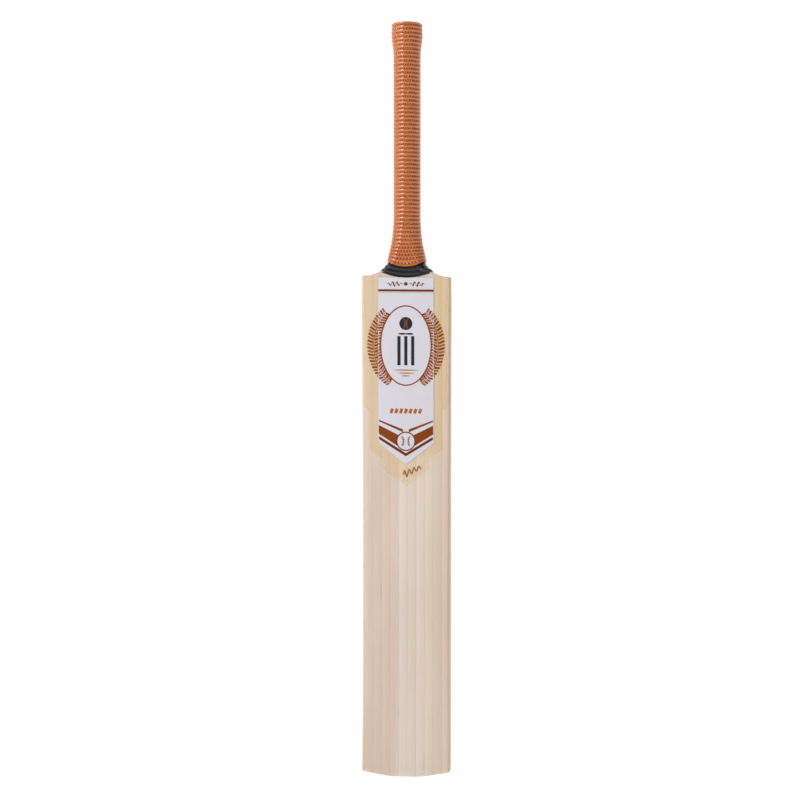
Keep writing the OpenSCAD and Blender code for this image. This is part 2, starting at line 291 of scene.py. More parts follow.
def willowMaterial():
    # Planed English willow, lightly oiled: pale, with straight growth lines about a centimetre
    # apart that are soft on one side and sharp on the other, browner heartwood on one side and a
    # satin sheen. The count of lines up to a place is x over their distance, plus a little for its
    # depth and a slow wander: its fraction is the place within a year, its whole part the year.
    material, shader = newMaterial("willowPlanedOiled", {
        "Roughness": 0.5, "IOR": 1.5, "Specular IOR Level": 0.3})
    place = addNode(material, "ShaderNodeTexCoord", out="Object")
    x = addNode(material, "ShaderNodeSeparateXYZ", {0: place}, out="X")
    y = addNode(material, "ShaderNodeSeparateXYZ", {0: place}, out="Y")
    wander = stretchedNoise(material, place, (9, 9, 2.2), 3)
    stray = addNode(material, "ShaderNodeMath", {0: wander, 1: 0.5}, operation="SUBTRACT")
    shift = addNode(material, "ShaderNodeMath", {
        0: stray, 1: 2 * willow["wanderMm"] / willow["grainMm"]}, operation="MULTIPLY")
    rings = addNode(material, "ShaderNodeMath", {0: x, 1: 1000 / willow["grainMm"]}, operation="MULTIPLY")
    lean = addNode(material, "ShaderNodeMath", {0: y, 1: willow["leanPerM"]}, operation="MULTIPLY")
    count = willow["firstLine"]
    for part in (shift, lean, rings):
        count = addNode(material, "ShaderNodeMath", {0: part, 1: count}, operation="ADD")
    phase = addNode(material, "ShaderNodeMath", {0: count}, operation="FRACT")
    yearNumber = addNode(material, "ShaderNodeMath", {0: count}, operation="FLOOR")
    colour = addNode(material, "ShaderNodeValToRGB", {0: phase}, stops=[
        (0.0, willow["fresh"]), (0.3, willow["middle"]), (0.9, willow["late"]),
        (0.965, willow["line"]), (1.0, willow["fresh"])])
    # Each year has its own tone, from noise that changes only from one whole number to the next.
    chance = addNode(material, "ShaderNodeTexWhiteNoise", {"W": yearNumber}, out="Value",
                     noise_dimensions="1D")
    years = addNode(material, "ShaderNodeValToRGB", {0: chance}, stops=[
        (0.0, willow["years"][0]), (1.0, willow["years"][1])])
    # The sides' tones run across the blade, and their borders stray like the growth lines.
    side = addNode(material, "ShaderNodeMath", {0: x, 1: willow["widthPerM"]}, operation="MULTIPLY")
    side = addNode(material, "ShaderNodeMath", {0: side, 1: 0.5}, operation="ADD")
    drift = addNode(material, "ShaderNodeMath", {0: stray, 1: 0.1}, operation="MULTIPLY")
    side = addNode(material, "ShaderNodeMath", {0: side, 1: drift}, operation="ADD")
    sides = addNode(material, "ShaderNodeValToRGB", {0: side}, stops=willow["sides"])
    fibres = stretchedNoise(material, place, (1400, 1400, 14), 3, 0.6)
    streaks = addNode(material, "ShaderNodeValToRGB", {0: fibres}, stops=[
        (0.3, willow["fibres"]), (0.7, "#ffffff")])
    clouds = stretchedNoise(material, place, (30, 30, 7), 3)
    patches = addNode(material, "ShaderNodeValToRGB", {0: clouds}, stops=[
        (0.3, willow["clouds"]), (0.62, "#ffffff")])
    for amount, tone in ((1.0, years), (1.0, sides), (0.55, streaks), (0.6, patches)):
        colour = addNode(material, "ShaderNodeMix", {0: amount, 6: colour, 7: tone}, **multiplied)
    # Small stains sit along the growth lines.
    spots = stretchedNoise(material, place, (60, 60, 26), 2)
    spotted = addNode(material, "ShaderNodeValToRGB", {0: spots}, stops=[
        (0.6, "#000000"), (0.74, "#ffffff")])
    nearLine = addNode(material, "ShaderNodeValToRGB", {0: phase}, stops=[
        (0.78, "#000000"), (0.96, "#ffffff"), (1.0, "#000000")])
    stains = addNode(material, "ShaderNodeMath", {0: nearLine, 1: spotted}, operation="MULTIPLY")
    stains = addNode(material, "ShaderNodeMath", {0: stains, 1: 0.5}, operation="MULTIPLY")
    colour = addNode(material, "ShaderNodeMix", {0: stains, 6: colour, 7: srgb(willow["stain"])}, **mixed)
    bump = addNode(material, "ShaderNodeBump", {"Height": fibres, "Strength": 0.06, "Distance": 0.0004})
    material.node_tree.links.new(colour, shader.inputs["Base Color"])
    material.node_tree.links.new(bump, shader.inputs["Normal"])
    return material


def caneMaterial():
    # Manau cane, sawn and planed: golden tan, with long dark pores that show as fine dashes.
    material, shader = newMaterial("manauCane", {"Roughness": 0.55, "IOR": 1.5, "Specular IOR Level": 0.3})
    place = addNode(material, "ShaderNodeTexCoord", out="Object")
    bands = stretchedNoise(material, place, (180, 180, 6), 2)
    base = addNode(material, "ShaderNodeValToRGB", {0: bands}, stops=[(0.3, "#d6ba8e"), (0.7, "#e2cba6")])
    pores = stretchedNoise(material, place, (1600, 1600, 40), 3, 0.6)
    dark = addNode(material, "ShaderNodeValToRGB", {0: pores}, stops=[(0.36, "#8a6238"), (0.5, "#ffffff")])
    colour = addNode(material, "ShaderNodeMix", {0: 0.75, 6: base, 7: dark}, **multiplied)
    material.node_tree.links.new(colour, shader.inputs["Base Color"])
    return material


def gripMaterial():
    # Moulded natural rubber with copper pigment: satin, so each ring catches a coppery streak of light,
    # with painted shade that makes the colour darker in the pits between the rings.
    material, shader = newMaterial("mouldedRubberCopper", {
        "Roughness": 0.17, "Metallic": 0.1, "IOR": 1.52, "Specular IOR Level": 1.0})
    place = addNode(material, "ShaderNodeTexCoord", out="Object")
    clouds = stretchedNoise(material, place, (60, 60, 60), 3)
    base = addNode(material, "ShaderNodeValToRGB", {0: clouds}, stops=[(0.3, "#bd672b"), (0.7, "#c77133")])
    # Painted shade: the colour is multiplied darker where the stored ring height is low, down to brown in
    # the bottom of each groove.
    height = addNode(material, "ShaderNodeAttribute", out="Fac", attribute_name="ringHeight")
    paintedPitShade = addNode(material, "ShaderNodeValToRGB", {0: height}, stops=[
        (0.0, "#a8704c"), (0.3, "#d8b8a0"), (0.6, "#ffffff")])
    colour = addNode(material, "ShaderNodeMix", {0: 1.0, 6: base, 7: paintedPitShade}, **multiplied)
    material.node_tree.links.new(colour, shader.inputs["Base Color"])
    return material


def bindingMaterial():
    # Black gloss tape over waxed twine: near black with a bluish sheen along each turn.
    material, shader = newMaterial("glossBlackTape", {
        "Roughness": 0.32, "IOR": 1.5, "Specular IOR Level": 0.5})
    place = addNode(material, "ShaderNodeTexCoord", out="Object")
    thread = stretchedNoise(material, place, (90, 90, 700), 2)
    colour = addNode(material, "ShaderNodeValToRGB", {0: thread}, stops=[
        (0.35, "#101016"), (0.7, "#1b1b22")])
    bump = addNode(material, "ShaderNodeBump", {"Height": thread, "Strength": 0.25, "Distance": 0.0004})
    material.node_tree.links.new(colour, shader.inputs["Base Color"])
    material.node_tree.links.new(bump, shader.inputs["Normal"])
    return material


def filmMaterial():
    # Clear self-adhesive vinyl film: it lets nearly all the light through and warms the wood.
    return newMaterial("clearVinylFilm", {"Base Color": srgb("#f2cc40"), "Roughness": 0.25, "IOR": 1.53,
                                          "Alpha": 0.07, "Specular IOR Level": 0.4})[0]


def plainMaterial(name, code, roughness, mottle=0.04, scale=900, specular=0.3):
    # One even colour with a faint mottle, for paper, printing ink, waxed twine and black rubber.
    material, shader = newMaterial(name, {
        "Roughness": roughness, "IOR": 1.5, "Specular IOR Level": specular})
    place = addNode(material, "ShaderNodeTexCoord", out="Object")
    clouds = stretchedNoise(material, place, (scale, scale, scale), 2)
    base = np.array(srgb(code))
    low = np.append(base[:3] * (1 - mottle), 1).tolist()
    high = np.append(np.minimum(base[:3] * (1 + mottle), 1), 1).tolist()
    colour = addNode(material, "ShaderNodeValToRGB", {0: clouds}, stops=[(0.3, low), (0.7, high)])
    material.node_tree.links.new(colour, shader.inputs["Base Color"])
    return material


willowWood = willowMaterial()
caneWood = caneMaterial()
gripRubber = gripMaterial()
glossTape = bindingMaterial()
vinylFilm = filmMaterial()
coatedPaper = plainMaterial("coatedPaper", "#cecbd3", 0.45, 0.01, 60)  # cool, even off-white
brownInk = plainMaterial("brownInk", "#7e3c10", 0.4, 0.05, specular=0.12)  # inks dry nearly matt
deepInk = plainMaterial("deepBrownInk", "#6c2f0c", 0.4, 0.05, specular=0.12)
orangeInk = plainMaterial("orangeInk", "#ab5c1d", 0.4, 0.08, 300, specular=0.12)
blackInk = plainMaterial("blackInk", "#20202a", 0.4, 0.03)
springRubber = plainMaterial("blackSheetRubber", "#2a2724", 0.7)  # matt and nearly black
waxedTwine = plainMaterial("waxedTwine", "#cfc4a8", 0.7, 0.15)  # dull cream
print("materials ready")

# The half section runs from the splice wall along the face, round both corners and back along the
# spine side: slide goes along the flats and turn is the angle round each corner.
flatSteps = 18
turnSteps = 7
slide = np.concatenate([np.linspace(0, 1, flatSteps), np.ones(turnSteps)])
turn = np.concatenate([np.zeros(flatSteps), np.linspace(0, math.pi / 2, turnSteps + 1)[1:]])
lidSteps = np.array([1.0, 0.6, 0.2, 0.0])  # rows of an end, from its rim in to its middle line


def halfSection(z, inner, half):
    # Front and back grids of one half of the bat, rows along z and columns along the section: x is
    # the slide along the flat plus the radius times the sine of the turn, never inside inner.
    z = z[:, None] * np.ones_like(slide)[None, :]
    half = half[:, None]
    r = cornerRadius(z)
    near = np.minimum(inner[:, None], half - r)
    x = np.maximum(near + slide * (half - r - near) + r * np.sin(turn), inner[:, None])
    drop = cornerDrop(x, z, half)
    front = np.stack([x, frontY(x, z) + drop, z], axis=-1)
    back = np.stack([x, backY(x, z) - drop, z], axis=-1)
    return front, back


def mirrorParts(points, faces):
    # The same points and faces, and their mirror image in x.
    other = points * np.array([-1, 1, 1])
    return np.concatenate([points, other]), np.concatenate([faces, faces[:, ::-1] + len(points)])


def makeBlade():
    # One half is a loop of front and back grids. Its two ends close towards their middle line, and
    # the splice wall closes it inside. The other half is its mirror image.
    knots = widthZ[widthZ <= bat["spliceTop"]]
    shoulder = knots[knots > 575]
    between = (shoulder[1:] + shoulder[:-1]) / 2
    z = np.unique(np.concatenate([
        knots, between, [0.3, 2.2, 4, 7, 10, 574, bat["spliceTip"]], np.arange(20, 572, 6.0)]))
    front, back = halfSection(z, spliceHalf(z), halfWidth(z))
    loop = np.concatenate([front, back[:, ::-1]], axis=1)
    fade = np.clip(1 - loop[..., 2] / bat["toeFade"], 0, 1) ** 2
    loop[..., 2] += toeLine(loop[..., 0]) * fade
    rows, cols = loop.shape[:2]
    parts = [(loop.reshape(-1, 3), gridFaces(rows, cols))]
    for end in (0, rows - 1):
        middle = (loop[end, :, 1] + loop[end, ::-1, 1]) / 2
        lid = np.repeat(loop[end][None], len(lidSteps), axis=0)
        lid[..., 1] = middle + (loop[end, :, 1] - middle) * lidSteps[:, None]
        parts.append((lid.reshape(-1, 3), gridFaces(len(lidSteps), cols)))
    above = np.where(z >= bat["spliceTip"] - 1e-6)[0]
    reach = np.concatenate([lidSteps, -lidSteps[-2::-1]])
    frontRim, backRim = loop[above, 0], loop[above, -1]
    wall = np.repeat(backRim[:, None], len(reach), axis=1)
    middle = (frontRim[:, 1] + backRim[:, 1])[:, None] / 2
    wall[..., 1] = middle + (backRim[:, 1] - frontRim[:, 1])[:, None] / 2 * reach
    parts.append((wall.reshape(-1, 3), gridFaces(*wall.shape[:2])))
    points, faces = mirrorParts(*joinParts(parts))
    return addPiece("willowBlade", leaning(points), faces, willowWood, merge=0.004, sharp=50)


blade = makeBlade()
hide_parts("blade")
print("blade made")

cane = {
    "springX": 8.2,  # from the middle out to each side spring
    "springHalf": 0.75,
    "springProud": 0.05,  # so that the springs' edges show as lines
    "middleY": 6.0,  # half thickness of the middle layer of strips
    "centreSpringZ": 474.0,
    "sideSpringZ": 534.0,
    "outside": 60.0,  # reaches past the handle
    "steps": 9,  # columns across each strip
}
# Rows above the horns, for the strips and for the springs.
stripRows = [598, 601, 604, 607, 610, 615, 620, 627, 634, 642, 650, 700, 760, 820, bat["caneTop"]]
springRows = [598, 604, 610, 620, 634, 650, bat["caneTop"] + cane["springProud"]]


def stripParts(side, inner, outer, y0, y1):
    # The part of the handle between two planes in x and two in y, on the side given by its sign:
    # each row runs from inner to outer, or to the handle's own half width where that is less, and
    # the face and the back are cut off at y0 and y1.
    z = np.concatenate([np.linspace(spliceStart(inner) + 0.01, 597.9, 40), stripRows])
    limit = np.where(z < bat["spliceTop"], spliceHalf(z), halfWidth(z))
    near, far = np.minimum(inner, limit), np.minimum(outer, limit)
    x = near[:, None] + (far - near)[:, None] * np.linspace(0, 1, cane["steps"])
    z = z[:, None] * np.ones_like(x)
    drop = cornerDrop(x, z)
    front = np.clip(frontY(x, z) + drop, y0, y1)
    back = np.clip(backY(x, z) - drop, y0, y1)
    return sheetParts(*[np.stack([side * x, y, z], axis=-1) for y in (front, back)])


def springParts(centre, fromZ):
    # A flat sheet as deep as the handle, a little proud of it in front and behind.
    z = np.concatenate([np.linspace(fromZ, 597.9, 30), springRows])
    half = cane["springHalf"]
    x = centre + np.linspace(-half, half, 3)[None, :] * np.ones((len(z), 1))
    z = z[:, None] * np.ones_like(x)
    drop = cornerDrop(x, z)
    front = frontY(x, z) + drop - cane["springProud"]
    back = backY(x, z) - drop + cane["springProud"]
    return sheetParts(*[np.stack([x, y, z], axis=-1) for y in (front, back)])


slabs = {"inner": (0.0, cane["springX"]), "outer": (cane["springX"], cane["outside"])}
layers = {"front": (-cane["outside"], -cane["middleY"]), "middle": (-cane["middleY"], cane["middleY"]),
          "back": (cane["middleY"], cane["outside"])}
for side, sign in (("left", -1), ("right", 1)):
    for slab, (inner, outer) in slabs.items():
        for layer, (y0, y1) in layers.items():
            place = "{}_{}_{}".format(side, slab, layer)
            parts = stripParts(sign, inner, outer, y0, y1)
            strip = addPiece("caneStrip_" + place, *parts, caneWood, merge=0.002, sharp=30)
            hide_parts("cane_" + place)
print("cane strips made")

for side, centre, fromZ in (("left", -cane["springX"], cane["sideSpringZ"]),
                            ("centre", 0.0, cane["centreSpringZ"]),
                            ("right", cane["springX"], cane["sideSpringZ"])):
    spring = addPiece("rubberSpring_" + side, *springParts(centre, fromZ), springRubber, sharp=30)
    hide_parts("spring_" + side)
print("springs made")

grip = {
    "wall": 0.9,
    "ringHeight": 1.9,
    "ringUneven": 0.03,  # spread of the rings' heights, as moulded rubber has
    "pegHeight": 1.05,
    "pitDepth": 0.15,
    "pegs": 36,
    "pitch": 4.62,
    "hemPitch": 3.72,  # the rings over the flare lie closer together
    "hemZ": 597.8,
    "hemRise": 6.1,  # how much lower the hem is in the middle than at the sides
    "holeRadius": 7.8,
    "columns": 180,
}
gripZ = np.array([590, 597.8, 603.2, 606.9, 610.5, 614.7, 619, 623.4, 627.9, 640, 655, 838, 845, 853,
                  861, 868, 876])
gripOver = np.array([1.7, 1.6, 1.5, 1.5, 1.5, 1.4, 1.3, 1.2, 1.2, 1.3, 1.4, 1.4, 1.7, 2.8, 3.7, 3.6,
                     3.3])  # how far the bottoms of the grooves stand off the handle
# One ring's section: heights from groove to crest, at places counted in rings.
ringPlace = np.array([0, 0.13, 0.21, 0.33, 0.5, 0.67, 0.79, 0.87])
ringShape = np.array([0, 0.08, 0.7, 0.965, 1, 0.965, 0.7, 0.08])


def roundedLoop(halfX, halfY, radius, turns):
    # A rectangle with round corners followed at an even pace from the middle of the front: along the
    # front flat, round the corner by the arc angle, then along the side, and mirrored in each quarter.
    quarter = np.floor(turns * 4).astype(int) % 4
    t = turns * 4 - np.floor(turns * 4)
    t = np.where(quarter % 2 == 1, 1 - t, t)
    flatX, flatY = halfX - radius, halfY - radius
    s = t * (flatX + flatY + radius * math.pi / 2)
    arc = np.clip((s - flatX) / radius, 0, math.pi / 2)
    x = np.minimum(s, flatX) + radius * np.sin(arc)
    y = np.maximum(s - flatX - radius * math.pi / 2, 0) - flatY - radius * np.cos(arc)
    signX = np.where(quarter < 2, 1, -1)
    signY = np.where((quarter == 0) | (quarter == 3), 1, -1)
    return x * signX, y * signY


def gripPoints(z, turns, lift):
    # The handle's own section moved outwards by the grip's stand-off plus lift. Rows near the hem
    # droop in front and behind by a parabola across x that dies away upwards.
    z, turns = np.broadcast_arrays(z, turns)
    side = roundedLoop(halfWidth(z), halfWidth(z), cornerRadius(z), turns)[0] / halfWidth(z)
    fall = np.clip(z - grip["hemZ"], 0, None)
    z = z - grip["hemRise"] * (0.6 * np.exp(-fall / 3) + 0.4 * np.exp(-fall / 16)) * (1 - side**2)
    over = np.interp(z, gripZ, gripOver) + lift
    front, back = frontY(0, z), backY(0, z)
    x, y = roundedLoop(halfWidth(z) + over, (back - front) / 2 + over, cornerRadius(z) + over - 0.01, turns)
    return np.stack([x, y + (front + back) / 2, z], axis=-1)


def gripInside(turns):
    # Rows over the top's rim, down into the hole, and down the wall that lies on the handle.
    top = bat["length"]
    floor = bat["caneTop"] + 0.1
    angle = turns * 2 * math.pi - math.pi / 2
    hole = np.stack([np.cos(angle), np.sin(angle), np.zeros_like(angle)], axis=-1)[None]
    rows = [gripPoints(np.array([[top]]), turns[None, :], -inset) for inset in (-0.9, 4.0)]
    for z, flare in ((top, 0.8), (top - 0.6, 0), (floor, 0)):
        rows.append(hole * (grip["holeRadius"] + flare) + np.array([0, 0, z]))
    for z in (floor, 838.0, 655.0, 640.0, 625.0, 615.0, 607.0, 601.0, grip["hemZ"]):
        rows.append(gripPoints(np.array([[z]]), turns[None, :], -grip["wall"]))
    return np.concatenate(rows)


def makeGrip():
    # Rings are rounded teeth along z, numbered by adding up the steps in z over the pitch. Between
    # them short pegs and pits alternate round the handle, as a cosine of the angle times the number
    # of pegs, moved by half a peg from one groove to the next.
    fine = np.linspace(grip["hemZ"], bat["length"] - 0.5, 2000)
    pitch = np.interp(fine, [600, 611, 616, 628], [grip["hemPitch"], grip["hemPitch"], 4.25, grip["pitch"]])
    number = 0.5 + np.concatenate([[0], np.cumsum(np.diff(fine) / pitch[1:])])
    rings = math.ceil(number[-1])
    marks = (np.arange(0, rings)[:, None] + ringPlace).ravel()
    tooth = np.tile(ringShape, rings)
    keep = (marks > number[0] + 0.02) & (marks < number[-1] - 0.02)
    marks = np.concatenate([[number[0]], marks[keep], [number[-1]]])
    tooth = np.concatenate([[0.9], tooth[keep], [0.8]])[:, None]
    turns = (np.arange(grip["columns"]) + 0.5) / grip["columns"]
    stagger = math.pi * (np.floor(marks + 0.5) % 2)
    wave = np.cos(turns[None, :] * grip["pegs"] * 2 * math.pi + stagger[:, None])
    roundTop = np.maximum(wave, 0) ** 0.7
    peg = (grip["pegHeight"] + grip["pitDepth"]) * roundTop - grip["pitDepth"]
    uneven = 1 + grip["ringUneven"] * rng.normal(size=(len(marks), 1))
    lift = np.maximum(grip["ringHeight"] * tooth * uneven, peg)
    outer = gripPoints(np.interp(marks, number, fine)[:, None], turns[None, :], lift)
    inside = gripInside(turns)
    grid = np.concatenate([outer, inside])
    # Each point's height, kept for the material's painted shade in the pits and grooves; the inside rows
    # get none.
    shade = np.concatenate([np.maximum(tooth, roundTop).ravel(), np.ones(inside[..., 0].size)])
    faces = gridFaces(grid.shape[0], grid.shape[1], closeRows=True, closeCols=True)
    return addPiece("ringedRubberGrip", grid.reshape(-1, 3), faces, gripRubber, sharp=75, heights=shade)


gripPiece = makeGrip()
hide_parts("rubber_grip")
print("grip made")

binding = {
    "thick": 0.6,
    "turns": 4.5,
    "turnRise": 0.5,  # how far each turn of tape stands out
    "sideHalf": 29.6,
    "sideZ": 584.8,
    "dipZ": 578.8,  # height of the lower edge in the middle of the face
    "dipRise": 6.4,
    "topZ": 602.0,
    "underGrip": 0.35,
    "inside": -0.4,  # the tape's inner side lies this far in the wood
    "lumps": {1: (1.6, 589, 1.7), -1: (0.4, 593, 2.2)},  # size, height and spread on each side
    "fold": 0.5,
    "bead": 0.3,
}


def makeBinding():
    # Turns of tape that follow the curved lower edge. The lower edge rises from the middle by the
    # distance from it to the power 1.7; rows run evenly from there to the top, and each column
    # follows the neck's half section, moved outwards by the tape and its turns, lumps and beads.
    nominalX = slide * (binding["sideHalf"] - 5) + 5 * np.sin(turn)
    bottom = binding["dipZ"] + binding["dipRise"] * (nominalX / 30) ** 1.7
    up = np.linspace(0, 1, 46)[:, None]
    z = bottom[None, :] + (binding["topZ"] - bottom)[None, :] * up
    half = np.minimum(halfWidth(z), binding["sideHalf"] + (binding["sideZ"] - z) * 0.2)
    r = np.maximum(cornerRadius(z), np.where(z < 590, 5, 0))
    x = slide * (half - r) + r * np.sin(turn)
    drop = r * (1 - np.cos(turn))
    # The tape lies flat where the grip covers it.
    hem = grip["hemZ"] - grip["hemRise"] * (1 - np.clip(x / 22, 0, 1) ** 2)
    bare = np.clip((hem + 0.6 - z) / 1.6, 0, 1)
    turns = 0.5 + 0.5 * np.cos(2 * math.pi * binding["turns"] * up) * np.ones_like(x)
    atSide = np.clip((slide - 0.7) * 4, 0, 1)
    outer, inner = [], []
    for side, push in ((1, -1), (1, 1), (-1, 1), (-1, -1)):
        surface = backY(x, z) - drop if push > 0 else frontY(x, z) + drop
        size, lumpZ, spread = binding["lumps"][side]
        lump = size * np.exp(-((z - lumpZ) / spread) ** 2) * atSide
        fold = binding["fold"] * np.exp(-((z - bottom - 2.2) / 0.9) ** 2)
        fold = fold * np.clip((slide - 0.5) * 3, 0, 1) * (side > 0)
        beads = binding["bead"] * np.maximum(np.cos(x * 1.35), 0) * np.exp(-((up - 0.55) / 0.12) ** 2)
        shape = binding["turnRise"] * turns + lump + fold + beads
        out = binding["underGrip"] + bare * (binding["thick"] - binding["underGrip"] + shape)
        sheets = [np.stack([side * (x + d * np.sin(turn)), surface + push * d * np.cos(turn), z], axis=-1)
                  for d in (out, np.full_like(out, binding["inside"]))]
        if side == push:
            sheets = [sheet[:, ::-1] for sheet in sheets]
        outer.append(sheets[0])
        inner.append(sheets[1])
    grid = np.concatenate([np.concatenate(outer, axis=1), np.concatenate(inner, axis=1)[::-1]])
    faces = gridFaces(grid.shape[0], grid.shape[1], closeRows=True, closeCols=True)
    return addPiece("neckTape", leaning(grid.reshape(-1, 3)), faces, glossTape, merge=0.003, sharp=60)


bindingPiece = makeBinding()
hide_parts("neck_binding")
print("binding made")

film = {
    "thick": 0.3,
    "half": 51.0,
    "topZ": 580.2,
    "tipZ": 336.8,
    "stepX": (27.3, 42.5),  # the lower edge steps up here
    # Its height above the tip at the middle, before and after each step, and at the side.
    "edgeRise": (0, 20, 31.5, 43, 87.5, 93.5),
}


def faceAt(x, z, lift):
    # A point on the face, round corners included, lifted off it towards the front.
    return np.stack([x, frontY(x, z) + cornerDrop(x, z) - lift, z], axis=-1)


def makeFilm():
    # Columns across x, each running evenly from the pointed lower edge to the top.
    inner, outer = film["stepX"]
    corners = [0, inner, inner + 0.02, outer, outer + 0.02, film["half"]]
    right = np.unique(np.concatenate([np.linspace(0, film["half"], 36), corners]))
    xs = np.concatenate([-right[:0:-1], right])
    bottom = film["tipZ"] + np.interp(np.abs(xs), corners, film["edgeRise"])
    t = np.linspace(0, 1, 60)[:, None]
    z = bottom[None, :] + (film["topZ"] - bottom)[None, :] * t
    x = xs[None, :] * np.ones_like(z)
    points, faces = sheetParts(faceAt(x, z, film["thick"]), faceAt(x, z, 0.02))
    return addPiece("clearFaceFilm", leaning(points), faces, vinylFilm, sharp=60)


filmPiece = makeFilm()
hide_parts("clear_film")
print("film made")

label = {
    "half": 32.35,
    "topZ": 579.1,
    "sideZ": 387.2,
    "tipZ": 362.0,
    "thick": 0.3,
    "skewDeg": -0.75,  # the label was stuck on a touch crooked
    "inkLift": 0.05,
}


def skewed(x, z):
    # Heights on the label shear by the sine of its skew times x.
    return x, z + x * math.sin(math.radians(label["skewDeg"]))


def makeLabel():
    # Columns across x, each running evenly from the V of the lower edge to the top.
    xs = np.linspace(-label["half"], label["half"], 41)
    bottom = label["tipZ"] + (label["sideZ"] - label["tipZ"]) * np.abs(xs) / label["half"]
    t = np.linspace(0, 1, 70)[:, None]
    z = bottom[None, :] + (label["topZ"] - bottom)[None, :] * t
    x, z = skewed(xs[None, :] * np.ones_like(z), z)
    low = film["thick"]
    parts = sheetParts(faceAt(x, z, low + label["thick"]), faceAt(x, z, low + 0.01))
    return addPiece("paperLabel", *parts, coatedPaper, sharp=60)


labelPiece = makeLabel()
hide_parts("face_label")


def inkHeight(x):
    # Ink lies on the label where there is one, and on the film outside it.
    inside = np.clip((label["half"] - np.abs(x)) / 0.4 + 0.5, 0, 1)
    return film["thick"] + label["thick"] * inside


def inked(x, z):
    # A thin slab of ink over a grid of places on the face.
    x, z = skewed(x, z)
    lift = inkHeight(x)
    return sheetParts(faceAt(x, z, lift + label["inkLift"]), faceAt(x, z, lift - label["inkLift"]))


def ribbon(x, low, high, across=5):
    # Ink between two heights at each x: low times 1 - s plus high times s.
    s = np.linspace(0, 1, across)[None, :]
    return inked(x[:, None] * np.ones_like(s), low[:, None] * (1 - s) + high[:, None] * s)


def stroke(path, width, across=3):
    # A band of ink along a path of (x, z) points, with its own width at each point.
    path = np.asarray(path, float)
    width = np.broadcast_to(np.asarray(width, float), (len(path),))
    way = np.gradient(path, axis=0)
    way /= np.maximum(np.linalg.norm(way, axis=1, keepdims=True), 1e-9)
    normal = np.stack([-way[:, 1], way[:, 0]], axis=-1)
    s = np.linspace(-0.5, 0.5, across)
    spread = path[:, None] + normal[:, None] * (width[:, None] * s)[..., None]
    return inked(spread[..., 0], spread[..., 1])


def line(start, stop, steps=12):
    # Evenly spaced points from start to stop.
    t = np.linspace(0, 1, steps)[:, None]
    return np.array(start) * (1 - t) + np.array(stop) * t


def arcPath(x, z, radiusX, radiusZ, start, stop, steps=40):
    # Part of an ellipse round (x, z), from one angle to another, in degrees.
    angle = np.radians(np.linspace(start, stop, steps))
    return np.stack([x + radiusX * np.cos(angle), z + radiusZ * np.sin(angle)], axis=-1)


def disc(x, z, radius, steps=24):
    # A filled circle: a vertical band whose width is the circle's own.
    angle = np.linspace(-0.999, 0.999, steps) * math.pi / 2
    path = np.stack([np.full(steps, x), z + radius * np.sin(angle)], axis=-1)
    return stroke(path, 2 * radius * np.cos(angle), 9)


def tapered(steps, width, sharpness=0.6):
    # Widths of a leaf or brush stroke: a sine to a power, with thin ends and a full middle.
    t = np.linspace(0.02, 0.98, steps)
    return width * np.sin(math.pi * t) ** sharpness


heading = {
    "ruleZ": 563.9,
    "ruleHalf": 32.2,
    "ruleWide": 2.5,
    "hairlineZ": 561.5,
    "hairlineWide": 0.25,
    "waveStart": 4.2,
    "waveLong": 17.5,
    "waveHigh": 2.6,
    "waveZ": 571.4,
    "bends": 7,
    "leafHalf": 2.6,
    "leafWide": 4.6,
}


def makeHeading():
    # The rule under the heading, and a plain flourish in place of the heading: two waves drawn as
    # with a broad pen, thick where the line runs one way and thin where it runs the other.
    half = heading["ruleHalf"]
    deep = [stroke(line((-half, heading["ruleZ"]), (half, heading["ruleZ"]), 30), heading["ruleWide"])]
    half -= 0.1
    brown = [stroke(line((-half, heading["hairlineZ"]), (half, heading["hairlineZ"]), 30),
                    heading["hairlineWide"])]
    t = np.linspace(0, 1, 90)
    bend = t * heading["bends"] * math.pi
    swell = np.sin(math.pi * t) ** 0.6
    for side in (-1, 1):
        wave = np.stack([side * (heading["waveStart"] + heading["waveLong"] * t),
                         heading["waveZ"] + heading["waveHigh"] * swell * np.sin(bend)], axis=-1)
        brown.append(stroke(wave, 0.6 + 1.2 * swell * (0.5 + 0.5 * np.cos(bend))))
    leaf = heading["leafHalf"]
    leafZ = heading["waveZ"] + 0.2
    brown.append(stroke(line((-leaf, leafZ), (leaf, leafZ), 9), tapered(9, heading["leafWide"], 1.0), 5))
    return deep, brown


medallion = {
    "z": 500,
    "ringHalf": (29.5, 46),
    "ringWide": 1.5,
    "stumps": (-8, 0, 8),
    "stumpZ": (477, 511),
    "stumpWide": 3.8,
    "bailX": 4.2,
    "bailZ": 513.6,
    "ballZ": 525.5,
    "ballRadius": 7.6,
    "ground": ((471.5, 15), (468, 10), (464.8, 5)),  # height and half length of each line
    "crescentHalf": (37.6, 49.5),
    "stitches": 27,
    "stitchLong": 6.6,
    "stitchWide": 2.3,
}


